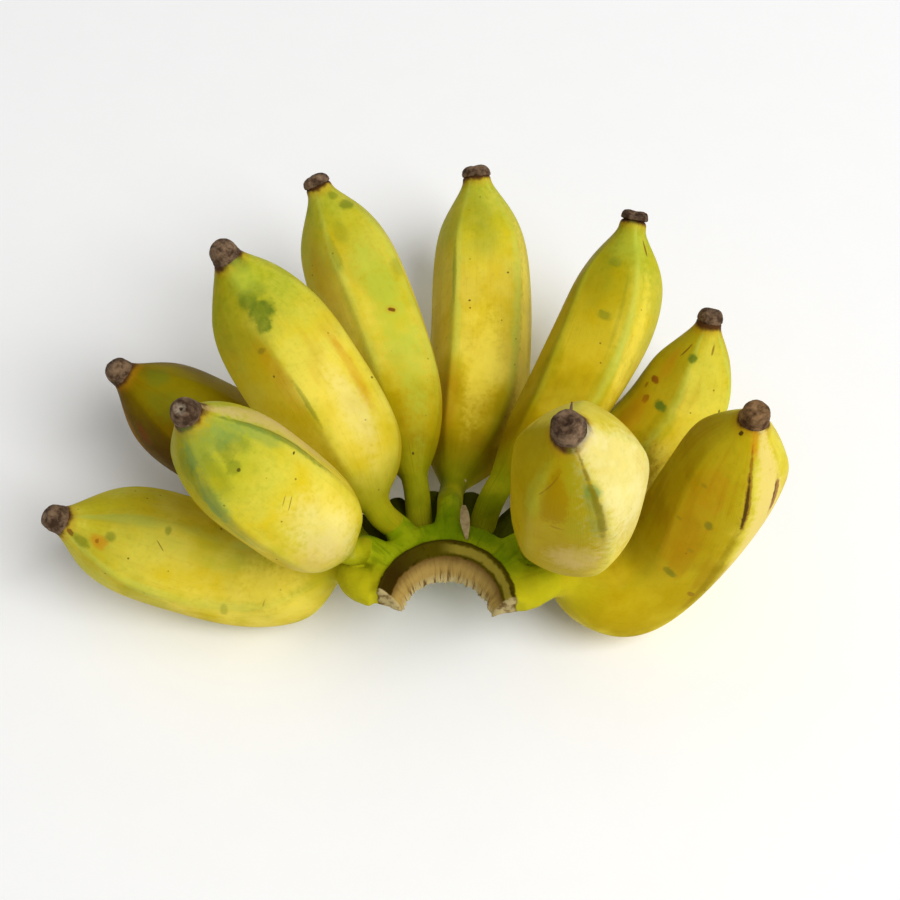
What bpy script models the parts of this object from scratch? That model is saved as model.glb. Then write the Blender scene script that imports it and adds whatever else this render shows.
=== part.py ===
"""A hand of baby bananas: ten fingers in two rows on a half-ring crown, lying on the bellies of three of them.

Lengths are in millimetres until a mesh is written. X runs along the fan, Y from the crown to the fan's far side.
"""

import math

import bmesh
import bpy
import numpy as np
from mathutils import Matrix, Vector
from mathutils.geometry import interpolate_bezier

MM = 0.001
CENTRE_SHIFT = Vector((10.43, -73.37, 0.0))  # moves the box's middle onto the Z axis
GAP = 0.3  # clearance between pieces that grow together
TOUCH_GAP = 0.9  # between fingers that press on each other, before the facets take their share
PRESS_STEPS = 14

# Crown: a half ring that was cut from the round bunch stem.
CROWN_WALL = 26.0  # radius of the outer wall that the stalks grow from
CROWN_RIM = 18.6  # radius of the dark upper rim
CROWN_CUT = 15.3  # radius of the knife cut at its upper edge
CROWN_CUT_SLOPE = 2.8  # how far the cut leans inwards by its lower edge
CROWN_CUT_HEIGHT = 12.5
CROWN_TOP = 42.0
CROWN_BOTTOM = 23.5
CROWN_ENDS = (2.0, 171.0)  # degrees of azimuth
CROWN_END_RISE = 8.0  # the crown thins towards its ends
CROWN_END_TAPER = 4.5  # and its wall draws in
CROWN_STEPS = 60
FIBRE_RIDGES = 17  # torn fibres along the cut
FIBRE_DEPTH = 0.5

# Finger: stalk, body and neck share one section that is drawn along the spine.
SIDES = 20
RIDGE_HEIGHT = 0.055  # of the girth
STALK_RINGS = 4
BODY_RINGS = 15
SPINE_STEPS = 24  # samples along each span of a spine
STALK_FLARE = 1.15  # widening of the stalk where it meets the crown
ROOT_PULL = 1.6  # how far a stalk runs straight out of the crown before it bends
NECK_TAPER = 0.72  # length of the neck's taper, of the girth
NECK_POWER = 1.5
SHOULDER_POWER = 1.4
BELLY_FULLNESS = 0.05

BLOSSOM_LENGTH = 4.6
BLOSSOM_PIT = 0.9

# Fingers, numbered along the fan from its left end. Places are in the crown's frame, whose axis is at x = y = 0.
# root: azimuth in degrees and height. points: start of the body, two along it, and its blossom end.
# girth, stalk, cap: largest radius, and those of the stalk and the blossom end.
# shoulder: how far the body takes to fill out, in girths. ridges: their number. roll: degrees that they are turned.
FINGERS = {
    "finger_01": dict(root=(160, 35), points=[(-30, 16, 31), (-57, 21.6, 15.1), (-85, 25, 25.6), (-107, 25, 42)],
                      girth=16.9, stalk=4.2, cap=4.0, shoulder=0.75, ridges=5, roll=31),
    "finger_02": dict(root=(136, 27), points=[(-32, 37, 22), (-54, 56, 18.5), (-76, 66, 27.5), (-94.5, 72.5, 43)],
                      girth=16.0, stalk=4.0, cap=4.1, shoulder=0.6, ridges=5, roll=0),
    "finger_03": dict(root=(139, 36.5), points=[(-27, 14.4, 44.5), (-39, 18, 60), (-54, 22, 80), (-63.5, 24, 100)],
                      girth=16.5, stalk=3.8, cap=3.9, shoulder=0.45, ridges=4, roll=80),
    "finger_04": dict(root=(118, 36), points=[(-19.5, 28, 44), (-31.5, 51, 52), (-48.5, 73, 66), (-60, 84, 84)],
                      girth=17.0, stalk=3.8, cap=4.1, shoulder=0.45, ridges=5, roll=44),
    "finger_05": dict(root=(104, 27.5), points=[(-9, 42, 34), (-16.5, 78, 33), (-27, 108, 42), (-38, 128, 58)],
                      girth=15.2, stalk=3.7, cap=4.2, shoulder=0.9, ridges=5, roll=36),
    "finger_06": dict(root=(88, 36), points=[(2, 46, 22), (9.5, 82, 16.0), (11.5, 118, 24.2), (9.5, 145.5, 41)],
                      girth=16.0, stalk=3.7, cap=4.6, shoulder=0.9, ridges=5, roll=48),
    "finger_07": dict(root=(71, 27.5), points=[(15, 39, 35.5), (35, 66, 38), (48.5, 93, 46), (54.6, 112, 60)],
                      girth=14.7, stalk=3.8, cap=4.2, shoulder=1.3, ridges=5, roll=0),
    "finger_08": dict(root=(49, 27.5), points=[(27, 33, 22), (48, 54, 19), (69, 72, 28), (77, 87.5, 46)],
                      girth=15.2, stalk=3.8, cap=3.9, shoulder=0.7, ridges=5, roll=70),
    "finger_09": dict(root=(44, 36.5), points=[(25, 16, 45), (32.6, 15, 64), (32.6, 12.5, 91), (28.5, 9.5, 117)],
                      girth=17.5, stalk=3.8, cap=4.3, shoulder=0.5, ridges=5, roll=62),
    "finger_10": dict(root=(19, 34.5), points=[(32, 12.5, 30), (53.5, 19.7, 13.9), (71.5, 27, 43.2), (79, 32, 85)],
                      girth=15.6, stalk=5.0, cap=3.9, shoulder=0.6, ridges=5, roll=4),
}

# Dried scale left between two stalks: a thin pointed blade that leans outwards from the crown's rim.
SCALE_ROOT = (5.7, 19.2, 41.1)
SCALE_HEADING = 95.0  # degrees
SCALE_LENGTH = 9.6
SCALE_WIDTH = 2.9
SCALE_THICKNESS = 0.8
SCALE_RISE = 2.2
SCALE_STEPS = 8

PEEL_YELLOW = (0.62, 0.50, 0.03, 1.0)
STALK_GREEN = (0.25, 0.36, 0.03, 1.0)
BLOSSOM_BROWN = (0.07, 0.035, 0.02, 1.0)
SCALE_TAN = (0.45, 0.32, 0.17, 1.0)


def clear_scene():
    for obj in list(bpy.data.objects):
        bpy.data.objects.remove(obj, do_unlink=True)


def make_material(name, colour, roughness):
    material = bpy.data.materials.new(name)
    material.use_nodes = True
    shader = material.node_tree.nodes["Principled BSDF"]
    shader.inputs["Base Color"].default_value = colour
    shader.inputs["Roughness"].default_value = roughness
    shader.inputs["Metallic"].default_value = 0.0
    material.diffuse_color = colour
    return material


def add_object(name, bm, material):
    """Writes a mesh built in millimetres as an object in metres, with its faces pointing out."""
    bmesh.ops.recalc_face_normals(bm, faces=bm.faces)
    bm.transform(Matrix.Scale(MM, 4) @ Matrix.Translation(CENTRE_SHIFT))
    mesh = bpy.data.meshes.new(name)
    bm.to_mesh(mesh)
    bm.free()
    mesh.shade_smooth()
    mesh.set_sharp_from_angle(angle=math.radians(40))
    mesh.materials.append(material)
    obj = bpy.data.objects.new(name, mesh)
    bpy.context.scene.collection.objects.link(obj)
    return obj


def skin_rings(bm, rings):
    """Faces between successive rings of points, and a flat cap on each end."""
    loops = [[bm.verts.new(point) for point in ring] for ring in rings]
    for lower, upper in zip(loops, loops[1:]):
        for i in range(len(lower)):
            j = (i + 1) % len(lower)
            bm.faces.new((lower[i], lower[j], upper[j], upper[i]))
    bm.faces.new(reversed(loops[0]))
    bm.faces.new(loops[-1])


def around_crown(azimuth, radius, height):
    angle = math.radians(azimuth)
    return Vector((radius * math.cos(angle), radius * math.sin(angle), height))


def spine_of(finger):
    """Points along the finger, and the index where its body starts. It leaves the crown's wall square to it."""
    azimuth, height = finger["root"]
    root = around_crown(azimuth, wall_beside(azimuth, finger["stalk"] * STALK_FLARE), height)
    outward = around_crown(azimuth, 1.0, 0.0)
    knots = [root] + [Vector(point) for point in finger["points"]]
    pulls = [outward * (knots[1] - knots[0]).length * ROOT_PULL]
    pulls += [(after - before) / 2 for before, after in zip(knots, knots[2:])]
    pulls += [(knots[-1] - knots[-2]) * 1.5 - pulls[-1] / 2]
    spine = []
    for i in range(len(knots) - 1):
        start, end = knots[i], knots[i + 1]
        span = interpolate_bezier(start, start + pulls[i] / 3, end - pulls[i + 1] / 3, end, SPINE_STEPS + 1)
        spine += span if i == 0 else span[1:]
    return spine, SPINE_STEPS


def lengths_along(spine):
    travelled = [0.0]
    for before, after in zip(spine, spine[1:]):
        travelled.append(travelled[-1] + (after - before).length)
    return travelled


def frames_along(spine):
    """A frame at each spine point that turns with the spine and doesn't spin about it."""
    tangents = [(spine[min(i + 1, len(spine) - 1)] - spine[max(i - 1, 0)]).normalized() for i in range(len(spine))]
    across = tangents[0].cross(Vector((0, 0, 1))).normalized()
    frames = []
    for tangent in tangents:
        across = (across - tangent * across.dot(tangent)).normalized()
        frames.append((tangent, across, across.cross(tangent)))
    return frames


def girth_at(finger, from_body, from_tip, body_length):
    """Radius of the finger at a place that far from the start of its body and from its blossom end."""
    girth = finger["girth"]
    stalk = finger["stalk"] / girth
    neck = finger["cap"] / girth
    if from_body <= 0:
        return finger["stalk"]
    filled = 1 - math.exp(-((from_body / girth / finger["shoulder"]) ** SHOULDER_POWER))
    tapered = 1 - math.exp(-((from_tip / girth / NECK_TAPER) ** NECK_POWER))
    middle = 2 * from_body / body_length - 1
    belly = 1 - BELLY_FULLNESS * middle * middle
    return girth * (stalk + (1 - stalk) * filled) * (neck + (1 - neck) * tapered) * belly


def finger_stations():
    """Shares of the stalk (below 0) and of the body (0 to 1) at which rings are drawn."""
    stalk = [i / STALK_RINGS - 1 for i in range(STALK_RINGS)]
    shares = [i / BODY_RINGS for i in range(BODY_RINGS + 1)]
    return stalk + [share - 0.11 * math.sin(2 * math.pi * share) for share in shares]  # closer at the two ends


def section(finger, radius, roundness):
    """Points round a ring as (across, up) pairs, with soft ridges that a roundness of 1 takes away."""
    points = []
    for i in range(SIDES):
        angle = 2 * math.pi * i / SIDES
        ridge = RIDGE_HEIGHT * (1 - roundness) * math.cos(finger["ridges"] * angle)
        turned = angle + math.radians(finger["roll"])
        reach = radius * (1 + ridge)
        points.append((reach * math.cos(turned), reach * math.sin(turned)))
    return points


def place_at(travelled, distance):
    """Index of the span, and the share along it, that lies at this distance along the spine."""
    for i in range(len(travelled) - 2):
        if travelled[i + 1] >= distance:
            break
    return i, (distance - travelled[i]) / (travelled[i + 1] - travelled[i])


def finger_skeleton(finger):
    """Centre, frame and radius of each ring from the stalk's root to the blossom end."""
    spine, body_start = spine_of(finger)
    travelled = lengths_along(spine)
    frames = frames_along(spine)
    stalk_length = travelled[body_start]
    body_length = travelled[-1] - stalk_length
    skeleton = []
    for station in finger_stations():
        distance = stalk_length + station * (stalk_length if station < 0 else body_length)
        i, share = place_at(travelled, distance)
        centre = spine[i].lerp(spine[i + 1], share)
        frame = tuple(a.lerp(b, share).normalized() for a, b in zip(frames[i], frames[i + 1]))
        from_tip = max(0.0, travelled[-1] - distance)
        radius = girth_at(finger, distance - stalk_length, from_tip, body_length)
        if station < 0:
            radius *= 1 + (STALK_FLARE - 1) * station * station
        skeleton.append((centre, frame, radius))
    return skeleton


def crown_clearance(points):
    """How far each point lies outside the crown."""
    radial = np.hypot(points[:, 0], points[:, 1])
    azimuth = np.degrees(np.arctan2(points[:, 1], points[:, 0]))
    beyond = np.maximum(CROWN_ENDS[0] - azimuth, azimuth - CROWN_ENDS[1])
    wall = np.array([crown_wall(min(max(a, CROWN_ENDS[0]), CROWN_ENDS[1])) for a in azimuth])
    return np.maximum.reduce([radial - wall, points[:, 2] - CROWN_TOP, CROWN_BOTTOM - points[:, 2], beyond])


def press(points, centre, radius, neighbours):
    """Draws a ring's points towards its centre until each lies on its own side of every neighbour."""
    def clear_at(reach):
        moved = centre + (points - centre) * reach[:, None]
        own = np.linalg.norm(moved - centre, axis=1) - radius
        room = crown_clearance(moved) - TOUCH_GAP
        for middles, radii in neighbours:
            theirs = (np.linalg.norm(moved[:, None] - middles[None], axis=2) - radii[None]).min(axis=1)
            room = np.minimum(room, theirs - own - TOUCH_GAP)
        return room >= 0

    low, high = np.zeros(len(points)), np.ones(len(points))
    low[clear_at(high)] = 1.0
    for _ in range(PRESS_STEPS):
        middle = (low + high) / 2
        clear = clear_at(middle)
        low = np.where(clear, middle, low)
        high = np.where(clear, high, middle)
    return centre + (points - centre) * low[:, None]


def finger_rings(name, skeletons):
    finger = FINGERS[name]
    neighbours = []
    for other, skeleton in skeletons.items():
        if other != name:
            middles = []
            radii = []
            for (centre, _, radius), (after, _, radius_after) in zip(skeleton, skeleton[1:]):
                for share in (0.0, 0.25, 0.5, 0.75):
                    middles.append(centre.lerp(after, share))
                    radii.append(radius + (radius_after - radius) * share)
            neighbours.append((np.array(middles), np.array(radii)))
    rings = []
    for i, (centre, (_, across, up), radius) in enumerate(skeletons[name]):
        roundness = 1 - min(1.0, max(0.0, (radius / finger["girth"] - 0.3) / 0.5))
        ring = np.array([centre + across * x + up * y for x, y in section(finger, radius, roundness)])
        rings.append(ring if i == 0 else press(ring, np.array(centre), radius, neighbours))
    return rings


def make_finger(name, skeletons, material):
    bm = bmesh.new()
    skin_rings(bm, finger_rings(name, skeletons))
    # Flattened where it lies on the table.
    cut = bmesh.ops.bisect_plane(bm, geom=bm.verts[:] + bm.edges[:] + bm.faces[:], dist=1e-4,
                                 plane_co=(0, 0, 0), plane_no=(0, 0, -1), clear_outer=True)
    rim = [item for item in cut["geom_cut"] if isinstance(item, bmesh.types.BMEdge)]
    if rim:
        bmesh.ops.edgeloop_fill(bm, edges=rim)
    add_object(name, bm, material)


def make_blossom_end(name, finger, skeleton, material):
    """Dried blossom end: a short blunt cap with a pit, which continues the neck."""
    tip, (tangent, across, up), _ = skeleton[-1]
    neck = finger["cap"] * (1 - BELLY_FULLNESS)
    outline = [(GAP, neck), (0.35 * BLOSSOM_LENGTH, neck * 1.04), (0.75 * BLOSSOM_LENGTH, neck * 0.93),
               (BLOSSOM_LENGTH, neck * 0.66), (BLOSSOM_LENGTH - BLOSSOM_PIT, neck * 0.25)]
    bm = bmesh.new()
    rings = []
    for distance, radius in outline:
        centre = tip + tangent * distance
        rings.append([centre + across * x + up * y for x, y in section(finger, radius, 1.0)])
    skin_rings(bm, rings)
    add_object(name, bm, material)


def end_share(azimuth):
    """0 at the crown's middle and 1 at either end."""
    return abs(2 * (azimuth - CROWN_ENDS[0]) / (CROWN_ENDS[1] - CROWN_ENDS[0]) - 1)


def crown_wall(azimuth):
    return CROWN_WALL - CROWN_END_TAPER * end_share(azimuth) ** 4


def wall_beside(azimuth, half_width):
    """Distance from the crown's axis to the flat root of a stalk that just clears the wall over its whole width."""
    spread = math.degrees(math.asin(half_width / CROWN_WALL))
    sides = [spread * i / 4 for i in range(-4, 5)]
    return GAP + max(crown_wall(azimuth + side) * math.cos(math.radians(side)) for side in sides)


def crown_section(azimuth):
    """Outline of the crown in its radial plane, as (radius, height) pairs from the cut's lower edge round its top."""
    phase = 2 * math.pi * FIBRE_RIDGES * (azimuth - CROWN_ENDS[0]) / (CROWN_ENDS[1] - CROWN_ENDS[0])
    fibre = FIBRE_DEPTH * math.sin(phase)
    bottom = CROWN_BOTTOM + CROWN_END_RISE * end_share(azimuth) ** 2
    wall = crown_wall(azimuth)
    edge = CROWN_TOP - CROWN_CUT_HEIGHT + 3.5 * end_share(azimuth) ** 4 + 0.6 * math.sin(phase + 1.0)
    foot = CROWN_CUT - CROWN_CUT_SLOPE
    return [
        (foot + fibre, edge),
        (foot + CROWN_CUT_SLOPE / 2 + fibre, (CROWN_TOP + edge) / 2),
        (CROWN_CUT + fibre / 2, CROWN_TOP - 1.0),
        (CROWN_CUT + 0.7, CROWN_TOP - 0.3),
        (CROWN_RIM, CROWN_TOP),
        (CROWN_RIM + 1.0, CROWN_TOP - 1.4),
        (wall - 1.5, CROWN_TOP - 2.6),
        (wall, CROWN_TOP - 4.5),
        (wall, bottom + 1.5),
        (wall - 2.0, bottom),
        (foot + 3.0, (bottom + edge) / 2 - 0.5),
    ]


def make_crown(material):
    bm = bmesh.new()
    rings = []
    for i in range(CROWN_STEPS + 1):
        azimuth = CROWN_ENDS[0] + (CROWN_ENDS[1] - CROWN_ENDS[0]) * i / CROWN_STEPS
        rings.append([around_crown(azimuth, radius, height) for radius, height in crown_section(azimuth)])
    skin_rings(bm, rings)
    add_object("crown", bm, material)


def make_scale(material):
    """A blade with a diamond section, widest in its middle, whose root lies on the crown's rim."""
    outward = around_crown(SCALE_HEADING, 1.0, 0.0)
    across = outward.cross(Vector((0, 0, 1)))
    bm = bmesh.new()
    rings = []
    for i in range(SCALE_STEPS + 1):
        share = i / SCALE_STEPS
        fullness = math.sin(math.pi * (0.08 + 0.84 * share)) ** 0.8
        thick = SCALE_THICKNESS * (0.5 + 0.5 * fullness)
        centre = Vector(SCALE_ROOT) + outward * SCALE_LENGTH * share
        centre.z += SCALE_RISE * share * share
        half = SCALE_WIDTH / 2 * fullness
        corners = [(-half, 0), (0, thick / 2), (half, 0), (0, -thick / 2)]
        rings.append([centre + across * x + Vector((0, 0, z)) for x, z in corners])
    skin_rings(bm, rings)
    add_object("dried_scale", bm, material)


def main():
    clear_scene()
    peel = make_material("banana_peel", PEEL_YELLOW, 0.45)
    green = make_material("crown_skin", STALK_GREEN, 0.5)
    brown = make_material("dried_blossom", BLOSSOM_BROWN, 0.8)
    tan = make_material("dried_scale", SCALE_TAN, 0.8)
    make_crown(green)
    make_scale(tan)
    skeletons = {name: finger_skeleton(finger) for name, finger in FINGERS.items()}
    for name, finger in FINGERS.items():
        make_finger(name, skeletons, peel)
        make_blossom_end(name.replace("finger", "blossom_end"), finger, skeletons[name], brown)


main()
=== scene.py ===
import math

import bpy
import numpy as np
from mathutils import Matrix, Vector, noise
from mathutils.geometry import interpolate_bezier


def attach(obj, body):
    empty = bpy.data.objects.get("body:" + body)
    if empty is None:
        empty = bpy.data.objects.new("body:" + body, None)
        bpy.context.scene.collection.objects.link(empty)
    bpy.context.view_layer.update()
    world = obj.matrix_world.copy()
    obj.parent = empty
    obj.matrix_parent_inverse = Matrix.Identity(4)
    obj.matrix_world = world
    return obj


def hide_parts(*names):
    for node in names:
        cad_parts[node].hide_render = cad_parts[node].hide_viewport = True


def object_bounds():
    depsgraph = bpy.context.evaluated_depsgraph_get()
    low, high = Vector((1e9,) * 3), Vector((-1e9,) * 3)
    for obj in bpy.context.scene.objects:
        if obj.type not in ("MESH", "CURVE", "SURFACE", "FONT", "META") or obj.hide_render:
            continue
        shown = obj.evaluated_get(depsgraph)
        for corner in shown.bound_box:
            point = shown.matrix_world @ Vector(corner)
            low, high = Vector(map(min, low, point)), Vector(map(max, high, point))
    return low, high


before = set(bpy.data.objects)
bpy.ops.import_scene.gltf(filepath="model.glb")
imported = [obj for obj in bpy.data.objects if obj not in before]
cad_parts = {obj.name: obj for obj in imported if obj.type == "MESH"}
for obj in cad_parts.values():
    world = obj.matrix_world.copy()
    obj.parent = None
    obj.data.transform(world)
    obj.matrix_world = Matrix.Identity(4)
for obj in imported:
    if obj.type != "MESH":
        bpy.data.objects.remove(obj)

cadLow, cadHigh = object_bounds()
mm = 0.001
crownAxis = Vector((10.43, -73.37, 0.0))  # on the table; lengths are in mm, and places are measured from it


# Tools for meshes

def deselectAll():
    if bpy.context.object and bpy.context.object.mode != "OBJECT":
        bpy.ops.object.mode_set(mode="OBJECT")
    bpy.ops.object.select_all(action="DESELECT")


def chooseOnly(piece):
    deselectAll()
    piece.select_set(True)
    bpy.context.view_layer.objects.active = piece


def editAll(piece):
    chooseOnly(piece)
    bpy.ops.object.mode_set(mode="EDIT")
    bpy.ops.mesh.select_all(action="SELECT")


def newest(name):  # what the last operator made
    piece = bpy.context.object
    piece.name = piece.data.name = name
    return piece


def applyModifiers(piece):
    chooseOnly(piece)
    for name in [modifier.name for modifier in piece.modifiers]:
        bpy.ops.object.modifier_apply(modifier=name)


def subdivide(piece, levels):
    finer = piece.modifiers.new("finer", "SUBSURF")
    finer.levels = finer.render_levels = levels
    applyModifiers(piece)


def settle(piece):  # place into the mesh, faces outward, smooth
    chooseOnly(piece)
    bpy.ops.object.transform_apply(location=True, rotation=True, scale=True)
    editAll(piece)
    bpy.ops.mesh.normals_make_consistent(inside=False)
    bpy.ops.object.mode_set(mode="OBJECT")
    bpy.ops.object.shade_smooth()


def pointsOf(piece):
    points = np.zeros(len(piece.data.vertices) * 3)
    piece.data.vertices.foreach_get("co", points)
    return points.reshape(-1, 3)


def setPoints(piece, points):
    piece.data.vertices.foreach_set("co", np.asarray(points, dtype=np.float64).ravel())
    piece.data.update()


def normalsOf(piece):
    normals = np.zeros(len(piece.data.vertices) * 3)
    piece.data.vertex_normals.foreach_get("vector", normals)
    return normals.reshape(-1, 3)


def onTable(places):  # mm from the crown's axis to metres on the table
    return (np.asarray(places) + np.array(crownAxis)) * mm


def fromAxis(points):
    return np.asarray(points) / mm - np.array(crownAxis)


def polar(places):  # distance from the crown's axis, azimuth in degrees
    return np.hypot(places[..., 0], places[..., 1]), np.degrees(np.arctan2(places[..., 1], places[..., 0]))


def smoothStep(value, low, high):
    share = np.clip((value - low) / (high - low), 0.0, 1.0)
    return share * share * (3 - 2 * share)


def swell(places, size, seed):  # smooth noise over places in mm, about -1 to 1
    shift = Vector((seed, 7.3 * seed, -seed))
    return np.array([noise.noise(Vector(place) / size + shift) for place in places])


# Tools for materials. A pattern is a value, colour or place that changes over a surface. A sum with a pattern
# makes a Math node, in the tree that the pattern belongs to.

class Pattern:
    def __init__(self, tree, socket):
        self.tree, self.socket = tree, socket

    def __add__(self, other):
        return calc("ADD", self, other)

    def __sub__(self, other):
        return calc("SUBTRACT", self, other)

    def __rsub__(self, other):
        return calc("SUBTRACT", other, self)

    def __mul__(self, other):
        return calc("MULTIPLY", self, other)

    def ramp(self, low, high, start=0.0, end=1.0):
        return lay("ShaderNodeMapRange", {0: self, 1: low, 2: high, 3: start, 4: end},
                   interpolation_type="SMOOTHSTEP")

    def fade(self, low, high, start=1.0, end=0.0):
        return self.ramp(low, high, start, end)


def fill(tree, node, inputs):
    for name, value in inputs.items():
        if isinstance(value, Pattern):
            tree.links.new(value.socket, node.inputs[name])
        else:
            node.inputs[name].default_value = value


def put(tree, kind, inputs=None, **settings):
    node = tree.nodes.new(kind)
    for name, value in settings.items():
        setattr(node, name, value)
    fill(tree, node, inputs or {})
    return {socket.identifier: Pattern(tree, socket) for socket in node.outputs}


def lay(kind, inputs, output=0, **settings):  # a new node beside the patterns that go into it
    tree = next(value.tree for value in inputs.values() if isinstance(value, Pattern))
    return list(put(tree, kind, inputs, **settings).values())[output]


def calc(operation, *parts, clamp=False):
    return lay("ShaderNodeMath", dict(enumerate(parts)), operation=operation, use_clamp=clamp)


def calcPlace(operation, *parts, output=0):
    return lay("ShaderNodeVectorMath", dict(enumerate(parts)), output, operation=operation)


def join(x, y, z=0.0):
    return lay("ShaderNodeCombineXYZ", {0: x, 1: y, 2: z})


def split(place):
    return put(place.tree, "ShaderNodeSeparateXYZ", {0: place}).values()


def tone(red, green, blue):  # a screen colour, 0 to 255, as linear light
    parts = red, green, blue
    return (*[((part / 255 + 0.055) / 1.055) ** 2.4 if part > 10 else part / 3295 for part in parts], 1.0)


def mix(share, a, b, how="MIX"):  # patterns or screen colours
    a, b = [tone(*side) if isinstance(side, tuple) else side for side in (a, b)]
    return lay("ShaderNodeMix", {0: share, 6: a, 7: b}, 2, data_type="RGBA", blend_type=how)


def layered(tones, colour, layers):  # each layer: how much it covers of what is below, and its tone's name
    for share, name in layers:
        colour = mix(share, colour, tones[name])
    return colour


def mottle(place, scale, detail=3, rough=0.55, twist=0.0):
    return lay("ShaderNodeTexNoise", {"Vector": place, "Scale": scale, "Detail": detail, "Roughness": rough,
                                      "Distortion": twist})


def stretch(place, scale, shift=(0, 0, 0)):
    return lay("ShaderNodeMapping", {"Vector": place, "Location": shift, "Scale": scale})


def newGroup(name, inputs, outputs):  # names of the sockets under their kind
    group = bpy.data.node_groups.new(name, "ShaderNodeTree")
    for way, sockets in (("INPUT", inputs), ("OUTPUT", outputs)):
        for kind, labels in sockets.items():
            for label in labels.split():
                group.interface.new_socket(label, in_out=way, socket_type="NodeSocket" + kind)
    given = group.nodes.new("NodeGroupInput").outputs
    return group, {socket.name: Pattern(group, socket) for socket in given}


def useGroup(tree, group, inputs):
    node = tree.nodes.new("ShaderNodeGroup")
    node.node_tree = group
    fill(tree, node, inputs)
    return {socket.name: Pattern(tree, socket) for socket in node.outputs}


def newMaterial(name):
    material = bpy.data.materials.new(name)
    material.use_nodes = True
    return material, material.node_tree, put(material.node_tree, "ShaderNodeTexCoord")


def shade(material, colour, roughness, specular, height, strength, depth):  # the depth of its relief in mm
    bump = lay("ShaderNodeBump", {"Height": height, "Strength": strength, "Distance": depth * mm})
    tree = material.node_tree
    fill(tree, tree.nodes["Principled BSDF"], {"Base Color": colour, "Roughness": roughness,
                                               "Specular IOR Level": specular, "Normal": bump})
    return material


# The crown: half a ring of stem tissue with the stubs that the stalks grow from
crownPlan = {
    "wall": 26.0, "rim": 18.6, "cut": 15.3, "cutSlope": 2.8, "cutHeight": 12.5, "top": 42.0, "bottom": 23.5,
    "ends": (4.0, 168.5), "endRise": 8.5, "endTaper": 4.5, "steps": 165, "voxel": 0.4,
    "bevel": 3.2, "bulge": 0.5, "stubReach": 13.0, "stubSink": 4.0, "stubRoot": 1.2, "stubTip": 0.88,
    "softening": 26, "webReach": 17.0, "webDrop": 3.5, "webRadii": (5.0, 5.0, 5.0, 4.8, 4.2, 2.8),
    "webGap": 8.0, "fibres": 41, "fibreDepth": 0.6, "tear": 1.4, "uneven": 0.22, "unevenSize": 3.4, "gap": 0.3,
}

# The fingers, numbered along the fan from its left end. root: azimuth and height on the crown; points: start
# of the body, two along it, blossom end; girth, stalk and cap are radii; shoulder: how slowly the body fills
# out; roll and twist: degrees that its ridges are turned and how far they wind; flat: how flat its sides are;
# dried: how much of the blossom end has dried; facing: how far that is turned to the front; pit: how pale its
# middle is; lip: how wavy its rim is; bendEase: how far a sharp bend is spread.
fingerForm = {
    "sides": 40, "stalkRows": 6, "bodyRows": 28, "rowEase": 0.1, "spineSteps": 24, "flare": 1.15,
    "rootPull": 1.6, "rootSink": 2.5, "neckTaper": 0.72, "neckPower": 1.5, "shoulderPower": 1.4, "belly": 0.05,
    "ridge": 0.055, "ridgeFrom": 0.3, "ridgeOver": 0.5, "touchGap": 0.55, "pressSteps": 12, "swellSize": 17.0,
    "swellDepth": 0.022, "crease": 0.3, "detail": 2, "bendSteps": 30, "bendPull": 0.8, "crowded": (0.3, 0.75),
}

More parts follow.
